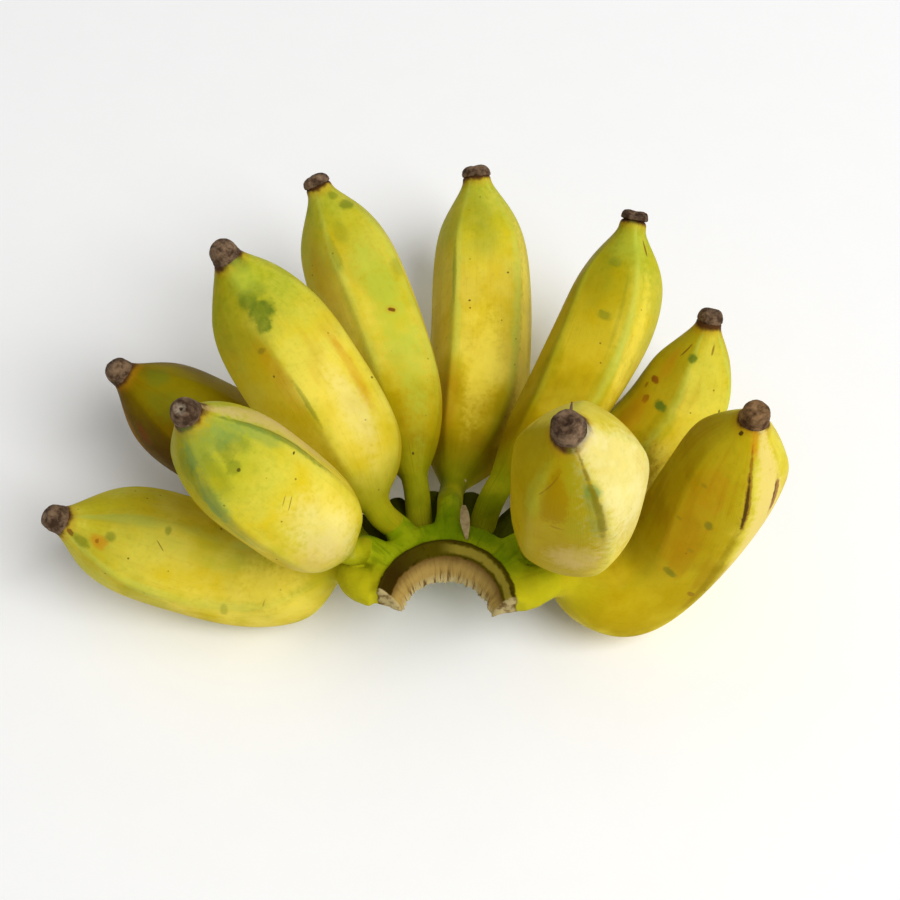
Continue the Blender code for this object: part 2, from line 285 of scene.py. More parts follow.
usualFinger = dict(ridges=5, twist=0, flat=1.0, dried=0.95, facing=0.0, pit=0.0, lip=0.14, bendEase=0)
fingerPlan = {
    "finger_01": dict(
        root=(160, 35), points=[(-30, 16, 31), (-57, 21.6, 15.1), (-85, 25, 25.6), (-107, 25, 42)],
        girth=16.9, stalk=4.2, cap=4.0, shoulder=0.75, roll=42, pit=0.8),
    "finger_02": dict(
        root=(136, 27), points=[(-32, 37, 22), (-54, 56, 18.5), (-76, 66, 27.5), (-94.5, 72.5, 43)],
        girth=16.0, stalk=4.0, cap=4.1, shoulder=0.6, roll=0, dried=0.9, pit=0.9),
    "finger_03": dict(
        root=(139, 36.5), points=[(-27, 14.4, 44.5), (-39, 18, 60), (-54, 22, 80), (-63.5, 24, 100)],
        girth=16.5, stalk=3.8, cap=3.9, shoulder=0.45, ridges=4, roll=80, flat=1.1, dried=1.0,
        facing=0.55, pit=1.0),
    "finger_04": dict(
        root=(118, 36), points=[(-19.5, 28, 44), (-31.5, 51, 52), (-48.5, 73, 66), (-60, 84, 84)],
        girth=17.0, stalk=3.8, cap=4.1, shoulder=0.45, roll=45),
    "finger_05": dict(
        root=(104, 27.5), points=[(-9, 42, 34), (-16.5, 78, 33), (-27, 108, 42), (-38, 128, 58)],
        girth=15.2, stalk=3.7, cap=4.2, shoulder=0.9, roll=42, twist=15, flat=1.1, dried=0.55),
    "finger_06": dict(
        root=(88, 36), points=[(2, 46, 22), (9.5, 82, 16.0), (11.5, 118, 24.2), (9.5, 145.5, 41)],
        girth=16.0, stalk=3.7, cap=4.6, shoulder=0.9, roll=42, flat=1.15, dried=0.6),
    "finger_07": dict(
        root=(71, 27.5), points=[(15, 39, 35.5), (35, 66, 38), (48.5, 93, 46), (54.6, 112, 60)],
        girth=14.7, stalk=3.8, cap=4.2, shoulder=1.3, roll=-13, twist=30, flat=1.15, dried=0.35,
        lip=0.7, lipTurn=4.3),
    "finger_08": dict(
        root=(49, 27.5), points=[(27, 33, 22), (48, 54, 19), (69, 72, 28), (77, 87.5, 46)],
        girth=15.2, stalk=3.8, cap=3.9, shoulder=0.7, roll=63, twist=40, flat=1.3, dried=0.65),
    "finger_09": dict(
        root=(44, 36.5), points=[(25, 16, 45), (32.6, 15, 64), (32.6, 12.5, 91), (28.5, 9.5, 117)],
        girth=17.5, stalk=3.8, cap=4.3, shoulder=0.5, roll=55, flat=0.8, dried=1.0),
    "finger_10": dict(
        root=(19, 34.5), points=[(32, 12.5, 30), (53.5, 19.7, 13.9), (71.5, 27, 43.2), (79, 32, 85)],
        girth=15.6, stalk=5.0, cap=3.9, shoulder=0.6, roll=-11, twist=50, flat=0.8, bendEase=16),
}
fingerPlan = {name: usualFinger | finger for name, finger in fingerPlan.items()}


def aroundCrown(azimuth, radius, height):
    angle = math.radians(azimuth)
    return Vector((radius * math.cos(angle), radius * math.sin(angle), height))


def endShare(azimuth):  # 0 in the crown's middle, 1 at its ends
    low, high = crownPlan["ends"]
    return np.minimum(1.0, np.abs(2 * (np.asarray(azimuth) - low) / (high - low) - 1))


def crownWall(azimuth):
    return crownPlan["wall"] - crownPlan["endTaper"] * endShare(azimuth) ** 4


def stalkRoot(finger):
    azimuth, height = finger["root"]
    spread = math.degrees(math.asin(finger["stalk"] * fingerForm["flare"] / crownPlan["wall"]))
    sides = azimuth + np.linspace(-spread, spread, 9)
    reach = np.max(crownWall(sides) * np.cos(np.radians(sides - azimuth)))
    return aroundCrown(azimuth, float(reach) + crownPlan["gap"], height)


def fingerSpine(finger):  # a smooth curve from the crown's wall to the blossom end
    outward = aroundCrown(finger["root"][0], 1.0, 0.0)
    knots = [stalkRoot(finger)] + [Vector(point) for point in finger["points"]]
    pulls = [outward * (knots[1] - knots[0]).length * fingerForm["rootPull"]]
    pulls += [(after - before) / 2 for before, after in zip(knots, knots[2:])]
    pulls += [(knots[-1] - knots[-2]) * 1.5 - pulls[-1] / 2]
    steps = fingerForm["spineSteps"]
    spine = []
    for i in range(len(knots) - 1):
        start, end = knots[i], knots[i + 1]
        span = interpolate_bezier(start, start + pulls[i] / 3, end - pulls[i + 1] / 3, end, steps + 1)
        spine += span if i == 0 else span[1:]
    return spine


def frameOn(tangent, across):
    across = (across - tangent * across.dot(tangent)).normalized()
    return tangent, across, across.cross(tangent)


def spineFrames(spine):  # tangent, across and up at each point, without a twist
    last = len(spine) - 1
    tangents = [(spine[min(i + 1, last)] - spine[max(i - 1, 0)]).normalized() for i in range(last + 1)]
    across = tangents[0].cross(Vector((0, 0, 1))).normalized()
    frames = []
    for tangent in tangents:
        frames.append(frameOn(tangent, across))
        across = frames[-1][1]
    return frames


def fingerRadius(finger, fromBody, fromTip, bodyLength):
    girth, form = finger["girth"], fingerForm
    if fromBody <= 0:
        return finger["stalk"]
    filled = 1 - math.exp(-((fromBody / girth / finger["shoulder"]) ** form["shoulderPower"]))
    tapered = 1 - math.exp(-((max(0.0, fromTip) / girth / form["neckTaper"]) ** form["neckPower"]))
    stalk, neck = finger["stalk"] / girth, finger["cap"] / girth
    belly = 1 - form["belly"] * (2 * fromBody / bodyLength - 1) ** 2
    return girth * (stalk + (1 - stalk) * filled) * (neck + (1 - neck) * tapered) * belly


def easedBend(skeleton, steps):  # spreads a sharp turn over the rows beside it, which would cross inside it
    tangents = [row[1][0] for row in skeleton]
    for _ in range(steps):
        middle = [(a + 2 * b + c).normalized() for a, b, c in zip(tangents, tangents[1:], tangents[2:])]
        tangents = tangents[:1] + middle + tangents[-1:]
    return [(centre, frameOn(tangent, across), radius, distance)
            for (centre, (_, across, _), radius, distance), tangent in zip(skeleton, tangents)]


def fingerSkeleton(finger):
    # centre, frame, radius and mm from the crown for every row, from the stalk's root to the blossom end
    spine = fingerSpine(finger)
    frames = spineFrames(spine)
    travelled = np.concatenate([[0.0], np.cumsum([(b - a).length for a, b in zip(spine, spine[1:])])])
    stalkLength = travelled[fingerForm["spineSteps"]]
    bodyLength = travelled[-1] - stalkLength
    shares = np.linspace(0, 1, fingerForm["bodyRows"] + 1)
    body = stalkLength + (shares - fingerForm["rowEase"] * np.sin(2 * np.pi * shares)) * bodyLength
    rows = np.concatenate([np.linspace(0, stalkLength, fingerForm["stalkRows"] + 1)[:-1], body])
    skeleton = []
    for distance in rows:
        i = int(min(np.searchsorted(travelled, distance, side="right") - 1, len(spine) - 2))
        share = (distance - travelled[i]) / (travelled[i + 1] - travelled[i])
        centre = spine[i].lerp(spine[i + 1], share)
        turned = tuple(a.lerp(b, share).normalized() for a, b in zip(frames[i], frames[i + 1]))
        radius = fingerRadius(finger, distance - stalkLength, travelled[-1] - distance, bodyLength)
        skeleton.append((centre, turned, radius, distance))
    skeleton = easedBend(skeleton, finger["bendEase"])
    start, turned, radius, _ = skeleton[0]
    sunk = (start - turned[0] * fingerForm["rootSink"], turned, radius, -fingerForm["rootSink"])
    tip, turned, radius, distance = skeleton[-1]
    fresh = blossomPlan["length"] * (1 - finger["dried"])
    neck = (tip + turned[0] * fresh, turned, radius, distance + fresh)
    return [sunk] + skeleton + ([neck] if fresh > 1 else []), stalkLength


def crownRoom(points):  # how far each point lies outside the crown
    radius, azimuth = polar(points)
    low, high = crownPlan["ends"]
    outside = radius - crownWall(np.clip(azimuth, low, high))
    above, below = points[..., 2] - crownPlan["top"], crownPlan["bottom"] - points[..., 2]
    return np.maximum.reduce([outside, above, below, low - azimuth, azimuth - high])


def eased(reach, fromRow):  # evens out the pressed places, never past the reach that was found clear
    def around(values, how):
        rows = np.concatenate([values[:1], values, values[-1:]])
        spread = [np.roll(rows[i:i + len(values)], shift, axis=1) for i in range(3) for shift in (-1, 0, 1)]
        return how(spread, axis=0)

    body = reach[fromRow:]
    for how in (np.min, np.min, np.mean, np.mean):
        body = around(body, how)
    return np.concatenate([reach[:fromRow], body])


def pressed(points, centres, radii, neighbours, fromRow):
    # draws points in towards their row's centre until each is on its own side of every neighbour
    def clearAt(reach):
        moved = centres[:, None] + (points - centres[:, None]) * reach[..., None]
        own = np.linalg.norm(moved - centres[:, None], axis=2) - radii[:, None]
        onStalk = np.arange(len(points))[:, None] < fromRow
        room = np.where(onStalk, 1.0, crownRoom(moved) - fingerForm["touchGap"])
        for middles, sizes in neighbours:
            theirs = (np.linalg.norm(moved[:, :, None] - middles, axis=3) - sizes).min(axis=2)
            room = np.minimum(room, theirs - own - fingerForm["touchGap"])
        return room >= 0

    low, high = np.zeros(points.shape[:2]), np.ones(points.shape[:2])
    low[clearAt(high)] = 1.0
    for _ in range(fingerForm["pressSteps"]):
        middle = (low + high) / 2
        clear = clearAt(middle)
        low, high = np.where(clear, middle, low), np.where(clear, high, middle)
    low[:2] = 1.0
    reach = eased(low, fromRow)
    return centres[:, None] + (points - centres[:, None]) * reach[..., None]


def filleted(rows):  # the inner side of a sharp bend, where the rows crowd together, is evened out
    spacing = np.linalg.norm(rows[2:] - rows[:-2], axis=2)
    centres = rows.mean(axis=1)
    usual = np.linalg.norm(centres[2:] - centres[:-2], axis=1)[:, None]
    crowded = np.zeros(rows.shape[:2])
    crowded[1:-1] = 1 - smoothStep(spacing / usual, *fingerForm["crowded"])
    crowded[:fingerForm["stalkRows"]] = crowded[-3:] = 0
    for _ in range(3):
        wide = np.maximum.reduce([crowded, np.roll(crowded, 1, axis=1), np.roll(crowded, -1, axis=1)])
        crowded[1:-1] = (wide[:-2] + 2 * wide[1:-1] + wide[2:]) / 4
    for _ in range(fingerForm["bendSteps"]):
        beside = np.roll(rows, 1, axis=1) + np.roll(rows, -1, axis=1)
        mean = (beside[1:-1] + rows[2:] + rows[:-2]) / 4
        rows[1:-1] += (mean - rows[1:-1]) * (fingerForm["bendPull"] * crowded[1:-1])[..., None]
    return rows


def ridgeSharpness(finger, radius):  # none on the stalk and the neck
    share = (radius / finger["girth"] - fingerForm["ridgeFrom"]) / fingerForm["ridgeOver"]
    return min(1.0, max(0.0, share))


def ridgedRows(name, skeletons):
    finger, form = fingerPlan[name], fingerForm
    skeleton, stalkLength = skeletons[name]
    angles = 2 * np.pi * np.arange(form["sides"]) / form["sides"]
    side = 2 * np.pi / finger["ridges"]
    facets = np.cos(side / 2) / np.cos(angles % side - side / 2)  # 1 on a ridge, least halfway between two
    depth = finger["flat"] * (1 - (1 - form["ridge"]) / (1 + form["ridge"])) / (1 - np.cos(side / 2))
    rows = []
    for centre, (_, across, up), radius, distance in skeleton:
        wound = finger["twist"] * ((distance - stalkLength) / (skeleton[-1][3] - stalkLength) - 0.5)
        turned = angles + math.radians(finger["roll"] + wound)
        sharpness = ridgeSharpness(finger, radius)
        reach = radius * (1 + sharpness * ((1 + form["ridge"]) * (1 - depth + depth * facets) - 1))
        ring = np.outer(reach * np.cos(turned), across) + np.outer(reach * np.sin(turned), up)
        rows.append(np.array(centre) + ring)
    rows = np.array(rows)
    centres = np.array([row[0] for row in skeleton])
    radii = np.array([row[2] for row in skeleton])
    bumps = swell(rows.reshape(-1, 3), form["swellSize"], int(name[-2:])).reshape(rows.shape[:2])
    rows += (rows - centres[:, None]) * (bumps * form["swellDepth"])[..., None]
    neighbours = []
    for other, (others, _) in skeletons.items():
        if other != name:
            middles = [a[0].lerp(b[0], share) for a, b in zip(others, others[1:]) for share in (0, 0.5)]
            sizes = [a[2] + (b[2] - a[2]) * share for a, b in zip(others, others[1:]) for share in (0, 0.5)]
            neighbours.append((np.array(middles), np.array(sizes)))
    rows = pressed(filleted(rows), centres, radii, neighbours, form["stalkRows"] + 1)
    rows[..., 2] = np.maximum(rows[..., 2], 0.0)  # flat where it lies on the table
    return rows


def makeFinger(name, skeletons):
    # a flat grid rolled into a tube: x of the grid goes round the finger, y along it
    rows = ridgedRows(name, skeletons)
    around, along = fingerForm["sides"], len(rows) - 1
    deselectAll()
    bpy.ops.mesh.primitive_grid_add(x_subdivisions=around, y_subdivisions=along, size=1.0, calc_uvs=True)
    piece = newest(name.replace("finger", "fruit"))
    flat = pointsOf(piece)
    columns = np.rint((flat[:, 0] + 0.5) * around).astype(int) % around
    numbers = np.rint((flat[:, 1] + 0.5) * along).astype(int)
    setPoints(piece, onTable(rows[numbers, columns]))
    # the map keeps turns round the finger and decimetres from the crown
    travelled = [row[3] for row in skeletons[name][0]]
    places = piece.data.uv_layers[0].data
    for place in places:
        place.uv = (place.uv[0], np.interp(place.uv[1] * along, range(along + 1), travelled) / 100)
    crease = piece.data.attributes.new("crease_edge", "FLOAT", "EDGE")
    spacing = around // fingerPlan[name]["ridges"]
    for edge, value in zip(piece.data.edges, crease.data):
        a, b = edge.vertices
        if columns[a] == columns[b] and columns[a] % spacing == 0:
            radius = skeletons[name][0][numbers[a]][2]
            value.value = fingerForm["crease"] * ridgeSharpness(fingerPlan[name], radius)
    editAll(piece)
    bpy.ops.mesh.remove_doubles(threshold=1e-6)
    bpy.ops.mesh.select_all(action="DESELECT")
    bpy.ops.mesh.select_non_manifold(extend=False, use_wire=False, use_boundary=True, use_multi_face=False,
                                     use_non_contiguous=False, use_verts=False)
    bpy.ops.mesh.fill_holes(sides=0)
    bpy.ops.object.mode_set(mode="OBJECT")
    subdivide(piece, fingerForm["detail"])
    settle(piece)
    low = pointsOf(piece)
    low[:, 2] = np.maximum(low[:, 2], 0.0)
    setPoints(piece, low)
    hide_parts(name)
    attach(piece, "root")
    return piece


# The crown is spun round its axis from one outline. Stubs are joined to it and a skin is drawn over them.
def crownOutline():  # radius and height, from the cut's lower edge up its face, over the rim and down the wall
    plan = crownPlan
    foot, top, lip = plan["cut"] - plan["cutSlope"], plan["top"], plan["top"] - plan["bevel"]
    edge = top - plan["cutHeight"]
    return [(foot - 0.3, edge - 0.6), (foot + plan["cutSlope"] * 0.4 - plan["bulge"], (lip + edge) / 2),
            (plan["cut"] - plan["bulge"], lip - 1.2), (plan["cut"], lip), (plan["cut"] + 0.8, lip + 0.7),
            (plan["rim"] - 0.6, top - 0.5), (plan["rim"], top), (plan["rim"] + 1.0, top - 1.2),
            (plan["wall"] - 1.5, top - 1.9), (plan["wall"], top - 3.6), (plan["wall"], plan["bottom"] + 1.5),
            (plan["wall"] - 2.0, plan["bottom"]), (foot + 3.0, (plan["bottom"] + edge) / 2 - 0.5)]


def spinCrown():
    outline = crownOutline()
    start, end = crownPlan["ends"]
    deselectAll()
    bpy.ops.mesh.primitive_circle_add(vertices=len(outline), radius=0.01, fill_type="NGON")
    piece = newest("crown_skin")
    setPoints(piece, onTable([aroundCrown(start, radius, height) for radius, height in outline]))
    editAll(piece)
    bpy.ops.mesh.spin(steps=crownPlan["steps"], angle=math.radians(start - end), center=onTable((0, 0, 0)),
                      axis=(0, 0, 1))
    bpy.ops.object.mode_set(mode="OBJECT")
    return piece


def shapeCrown(piece):  # thinner and narrower towards both ends
    plan = crownPlan
    places = fromAxis(pointsOf(piece))
    radius, azimuth = polar(places)
    azimuth = np.where(azimuth < -90, azimuth + 360, azimuth)
    share = endShare(azimuth)
    outer = smoothStep(radius, plan["rim"] + 2, plan["wall"] - 2)
    lower = 1 - smoothStep(places[:, 2], plan["bottom"], plan["top"] - plan["cutHeight"])
    radius = radius - plan["endTaper"] * share ** 4 * outer
    height = places[:, 2] + plan["endRise"] * share ** 2 * lower
    angle = np.radians(azimuth)
    setPoints(piece, onTable(np.stack([radius * np.cos(angle), radius * np.sin(angle), height], axis=1)))


def drawRod(name, places, radii):  # a round bar through places, closed at both ends
    deselectAll()
    curve = bpy.data.curves.new(name, "CURVE")
    curve.dimensions = "3D"
    curve.bevel_depth = mm
    curve.bevel_resolution = 6
    curve.use_fill_caps = True
    line = curve.splines.new("POLY")
    line.points.add(len(places) - 1)
    for point, place, radius in zip(line.points, onTable(places), radii):
        point.co = (*place, 1.0)
        point.radius = radius
    rod = bpy.data.objects.new(name, curve)
    bpy.context.scene.collection.objects.link(rod)
    chooseOnly(rod)
    bpy.ops.object.convert(target="MESH")
    return bpy.context.object


def addStub(finger):  # the swollen foot of one stalk, sunk into the crown
    plan = crownPlan
    spine = fingerSpine(finger)
    places, radii = [spine[0] - aroundCrown(finger["root"][0], plan["stubSink"], 0.0)], [plan["stubRoot"]]
    for point in spine:
        share = (point - spine[0]).length / plan["stubReach"]
        if share <= 1:
            places.append(point)
            radii.append(plan["stubTip"] + (plan["stubRoot"] - plan["stubTip"]) * (1 - share) ** 2)
    return drawRod("stub", places, [finger["stalk"] * radius for radius in radii])


def addWebs():  # the tissue that joins neighbouring stalks, lower than they are; it reaches out into the gaps between them and takes the crown's painted valley shade
    plan = crownPlan
    roots = sorted(finger["root"] for finger in fingerPlan.values())
    webs = []
    for (before, low), (after, high) in zip(roots, roots[1:]):
        if after - before > plan["webGap"]:
            middle, height = (before + after) / 2, min(low, high) - plan["webDrop"]
            reaches = np.linspace(-plan["stubSink"], plan["webReach"], len(plan["webRadii"]))
            places = [aroundCrown(middle, plan["wall"] + reach, height) for reach in reaches]
            webs.append(drawRod("web", places, plan["webRadii"]))
    return webs


def softenShoulder(piece):  # evens out the shoulder and the corners of both ends
    plan = crownPlan
    places = fromAxis(pointsOf(piece))
    radius, azimuth = polar(places)
    fromEnds = np.radians(np.minimum(azimuth - plan["ends"][0], plan["ends"][1] - azimuth)) * radius
    corners = 1 - smoothStep(fromEnds, 0.8, 2.4)
    weights = np.maximum(smoothStep(radius, plan["rim"] + 0.6, plan["rim"] + 3.0), corners)
    shoulder = piece.vertex_groups.new(name="shoulder")
    for step in range(1, 11):
        chosen = np.flatnonzero((weights > (step - 1) / 10) & (weights <= step / 10))
        shoulder.add(chosen.tolist(), step / 10, "REPLACE")
    smoother = piece.modifiers.new("softer", "SMOOTH")
    smoother.factor, smoother.iterations, smoother.vertex_group = 0.5, plan["softening"], "shoulder"
    applyModifiers(piece)
    piece.vertex_groups.clear()


def tearFibres(piece):  # grooves and ragged fibres on the knife cut, small unevenness all over
    plan = crownPlan
    points, normals = pointsOf(piece), normalsOf(piece)
    places = fromAxis(points)
    radius, azimuth = polar(places)
    height = places[:, 2]
    span = plan["ends"][1] - plan["ends"][0]
    onCut = 1 - smoothStep(radius, plan["cut"] - 0.3, plan["cut"] + 0.8)
    low = 1 - smoothStep(height, plan["top"] - plan["cutHeight"] + 3, plan["top"] - plan["bevel"] - 2)
    along = azimuth / span * plan["fibres"]
    fine = swell(np.stack([along * 1.7, height * 0.12, radius * 0.1], axis=1), 1.0, 3)
    coarse = swell(np.stack([along * 0.5, height * 0.09, radius * 0.1], axis=1), 1.0, 5)
    depth = onCut * plan["fibreDepth"] * (0.7 * fine + 0.9 * coarse) * (0.25 + 0.9 * low)
    ragged = swell(np.stack([along * 1.3, along * 0, along * 0], axis=1), 1.0, 8)
    foot = onCut * (1 - smoothStep(height, plan["bottom"] + 4, plan["top"] - 6))
    uneven = plan["uneven"] * swell(places, plan["unevenSize"], 11) * (1 - onCut)
    moved = places + normals * (depth + uneven)[:, None]
    moved[:, 2] += plan["tear"] * foot * ragged
    setPoints(piece, onTable(moved))


def makeCrown():
    crown = spinCrown()
    shapeCrown(crown)
    stubs = [addStub(finger) for finger in fingerPlan.values()] + addWebs()
    settle(crown)
    for stub in stubs:
        stub.select_set(True)
    bpy.context.view_layer.objects.active = crown
    bpy.ops.object.join()
    skin = crown.modifiers.new("skin", "REMESH")
    skin.mode, skin.voxel_size = "VOXEL", crownPlan["voxel"] * mm
    applyModifiers(crown)
    softenShoulder(crown)
    tearFibres(crown)
    settle(crown)
    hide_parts("crown")
    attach(crown, "root")
    return crown


# The dried blossom ends: short domes with a pit that carry on the line of the neck, drawn out of a circle
blossomPlan = {
    "sides": 32, "length": 4.6, "proud": 0.12, "sink": 0.5, "sinkDried": 1.3, "folds": 5, "foldDepth": 0.02,
    "crumple": 0.13,
    "dark": (60, 42, 28), "light": (138, 112, 86), "paleDark": (68, 44, 24), "paleLight": (142, 110, 74),
    "rings": [(0.0, 1.0), (0.2, 0.99), (0.42, 0.96), (0.62, 0.9), (0.8, 0.79), (0.92, 0.66), (0.99, 0.5),
              (0.98, 0.34), (0.9, 0.2), (0.84, 0.08)],
}


def makeBlossomEnd(name, finger, skeleton):
    plan = blossomPlan
    tip, (tangent, _, _), neck, last = skeleton[-1]
    tangent = tangent.lerp(Vector((0.0, -0.5, 0.87)), finger["facing"]).normalized()
    length = plan["length"] * finger["dried"]
    sink = plan["sink"] + plan["sinkDried"] * finger["dried"] ** 2
    behind = float(np.interp(last - sink, [row[3] for row in skeleton], [row[2] for row in skeleton]))
    start = tip - tangent * sink
    deselectAll()
    bpy.ops.mesh.primitive_circle_add(vertices=plan["sides"], radius=(behind + plan["proud"] / 2) * mm,
                                      fill_type="NGON", location=onTable(start),
                                      rotation=tangent.to_track_quat("Z", "Y").to_euler())
    piece = newest(name.replace("finger", "dried_flower"))
    bpy.ops.object.transform_apply(location=True, rotation=True, scale=True)
    editAll(piece)
    before, width = start, behind + plan["proud"] / 2
    for share, size in plan["rings"]:
        centre, radius = tip + tangent * length * share, (neck + plan["proud"]) * size
        bpy.ops.mesh.extrude_region_move(TRANSFORM_OT_translate={"value": (centre - before) * mm})
        bpy.ops.transform.resize(value=[radius / width] * 3, center_override=onTable(centre))
        before, width = centre, radius
    bpy.ops.object.mode_set(mode="OBJECT")
    subdivide(piece, 2)
    seed = int(name[-2:])
    places = fromAxis(pointsOf(piece))
    out = places - np.array(tip)
    reached = out @ np.array(tangent) / length
    out -= np.outer(out @ np.array(tangent), tangent)
    side = tangent.orthogonal().normalized()
    turn = np.arctan2(out @ np.array(tangent.cross(side)), out @ np.array(side))
    drawn = smoothStep(reached, 0.1, 0.8)
    folded = plan["foldDepth"] * np.cos(plan["folds"] * turn + seed) * drawn
    lip = finger["lip"] * np.cos(2 * turn + finger.get("lipTurn", seed)) * drawn
    crumple = plan["crumple"] * (swell(places, 1.7, seed) + 0.5 * swell(places, 0.7, seed + 20))
    moved = places + out * folded[:, None] + np.outer(lip, tangent) + normalsOf(piece) * crumple[:, None]
    setPoints(piece, np.clip(onTable(moved), cadLow, cadHigh))
    # how near the pit each point is, for its paler middle
    pit = piece.data.attributes.new("pit", "FLOAT", "POINT")
    middle = (1 - np.linalg.norm(out, axis=1) / neck) * (reached > 0.7) * finger["pit"]
    pit.data.foreach_set("value", np.clip(middle, 0, 1))
    settle(piece)
    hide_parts(name.replace("finger", "blossom_end"))
    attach(piece, "root")
    return piece


# The dried scale between two stalks: a thin veined blade that leans outwards from the rim
scalePlan = {
    "root": (5.7, 19.2, 41.3), "heading": 95.0, "length": 9.6, "width": 2.7, "rise": 2.2, "cup": 0.5,
    "thickness": 0.28, "ripple": 0.18, "dark": (166, 140, 96), "light": (210, 188, 142),
}


def makeScale():
    plan = scalePlan
    outward = aroundCrown(plan["heading"], 1.0, 0.0)
    across = outward.cross(Vector((0, 0, 1)))
    deselectAll()
    bpy.ops.mesh.primitive_grid_add(x_subdivisions=6, y_subdivisions=14, size=1.0, calc_uvs=True)
    piece = newest("dried_scale_blade")
    places = []
    for x, y, _ in pointsOf(piece):
        share = y + 0.5
        fullness = math.sin(math.pi * (0.06 + 0.84 * share ** 1.25)) ** 0.8
        place = Vector(plan["root"]) + outward * plan["length"] * share + across * x * plan["width"] * fullness
        place.z += plan["rise"] * share * share + plan["cup"] * (4 * x * x - 0.5) * fullness
        place.z += plan["ripple"] * math.sin(9 * share + 3 * x)
        places.append(place)
    setPoints(piece, onTable(places))
    thick = piece.modifiers.new("thickness", "SOLIDIFY")
    thick.thickness, thick.offset = plan["thickness"] * mm, 0.0
    applyModifiers(piece)
    subdivide(piece, 2)
    settle(piece)
    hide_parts("dried_scale")
    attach(piece, "root")
    return piece


# The withered thread that still hangs on the ninth finger's blossom end
threadPlan = {
    "along": 0.75, "start": (1.0, 2.3, 0.0), "reach": (0.5, 3.6, -0.4), "wave": 0.3, "radius": 0.4,
    "thinning": 0.6,
}


def makeThread(finger, skeleton):
    plan, shares = threadPlan, np.linspace(0, 1, 9)
    tip, (tangent, _, _), _, _ = skeleton[-1]
    start = tip + tangent * blossomPlan["length"] * plan["along"] + Vector(plan["start"])
    places = [start + Vector(plan["reach"]) * share + Vector((0, 0, plan["wave"] * math.sin(3 * share)))
              for share in shares]
    piece = drawRod("dried_thread", places, plan["radius"] * (1 - plan["thinning"] * shares ** 2))
    setPoints(piece, np.clip(pointsOf(piece), cadLow, cadHigh))
    settle(piece)
    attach(piece, "root")
    return piece


# Finishes, in screen colours. A finger's look: how green its ridges, tip and sides are, how amber it is, how
# much painted olive shade lies near its stalk, how much painted shade darkens it all over, which turn of it
# faces away from the light and takes painted shade and how much, how ripe its stalk is, and mm of scorch at its
# tip. Its
# marks: kind, turn round the finger, mm from the crown, half the width and length in mm, strength, and, where
# it leans, degrees.
# Some mark kinds are painted light or shade: the gold, cream and bright facet marks are painted light, the
# olive and brown marks are painted shade, and the pale marks are painted highlight, all but one small pale
# spot.
markTones = {
    "green": (104, 120, 28), "teal": (122, 148, 68), "scar": (116, 62, 20), "rust": (132, 66, 18),
    "speck": (52, 36, 16), "amber": (200, 136, 20), "paleSpotAndHighlight": (246, 234, 172), "blush": (216, 188, 122),
    "wet": (168, 136, 2), "lime": (182, 196, 64), "oliveShade": (140, 116, 2), "paintedLightGold": (252, 230, 84),
    "brownShade": (92, 56, 0), "paintedHighlightCream": (246, 238, 182), "paintedLitFacet": (232, 208, 122), "moss": (150, 152, 30),
}
markSoftness = {  # 1 for the kinds that aren't named
    "scar": 0.0, "rust": 0.15, "speck": 0.0, "wet": 0.0, "paintedHighlightCream": 0.9, "paintedLitFacet": 0.15, "oliveShade": 0.6,
    "green": 0.55, "teal": 0.6,
}
# low and the dark brown all-over tone are painted shade, and shadow tints painted shade towards amber
peelTones = {
    "ripe": (238, 217, 80), "deep": (224, 198, 36), "amber": (200, 140, 8), "green": (152, 168, 32),
    "ridge": (196, 206, 86), "stalk": (176, 178, 20), "stalkDark": (128, 146, 2), "stalkStreak": (88, 100, 2),
    "stalkRipe": (190, 174, 24), "low": (134, 106, 0), "dull": (86, 58, 0), "shade": (120, 92, 6),
    "shadow": (255, 250.5, 89), "freckle": (112, 74, 20), "scorch": (80, 50, 24), "singe": (176, 122, 20),
}
usualPeel = dict(ridgeGreen=0.2, tipGreen=0.7, sideGreen=0.3, amber=0.2, low=0.0, dull=0.04, shadeTurn=0.42,
                 shade=0.0, stalkRipe=0.3, scorch=-0.4)
peelLook = {
    "finger_01": dict(
        ridgeGreen=0.4, tipGreen=0.45, sideGreen=0.45, amber=0.25, dull=0.0, stalkRipe=0.9, scorch=-0.6),
    "finger_02": dict(
        ridgeGreen=0.15, tipGreen=0.4, sideGreen=0.1, amber=0.5, low=0.4, dull=0.74, shadeTurn=0.6, shade=0.55,
        stalkRipe=0.2),
    "finger_03": dict(
        tipGreen=0.75, amber=0.12, dull=0.03, shadeTurn=0.5, shade=0.2, stalkRipe=0.4, scorch=0.0),
    "finger_04": dict(
        tipGreen=0.8, sideGreen=0.2, amber=0.3, dull=0.0, shade=0.28, stalkRipe=0.6, scorch=-0.2),
    "finger_05": dict(
        ridgeGreen=0.45, sideGreen=0.45, low=0.75, shade=0.05, scorch=-0.2),
    "finger_06": dict(
        ridgeGreen=0.5, sideGreen=0.15, low=0.8, dull=0.0, shade=0.12),
    "finger_07": dict(
        ridgeGreen=0.7, tipGreen=0.75, sideGreen=0.35, amber=0.25, low=0.95, dull=0.03, shade=0.38,
        stalkRipe=0.2),
    "finger_08": dict(
        ridgeGreen=0.7, tipGreen=0.45, amber=0.35, low=0.95, dull=0.06, shadeTurn=0.2, shade=0.4,
        stalkRipe=0.2, scorch=0.2),
    "finger_09": dict(
        tipGreen=0.2, sideGreen=0.15, amber=0.1, shadeTurn=0.02, shade=0.5, scorch=0.2),
    "finger_10": dict(
        tipGreen=0.25, sideGreen=0.25, amber=0.5, low=0.25, shadeTurn=0.21, shade=0.45, stalkRipe=1.0),
}

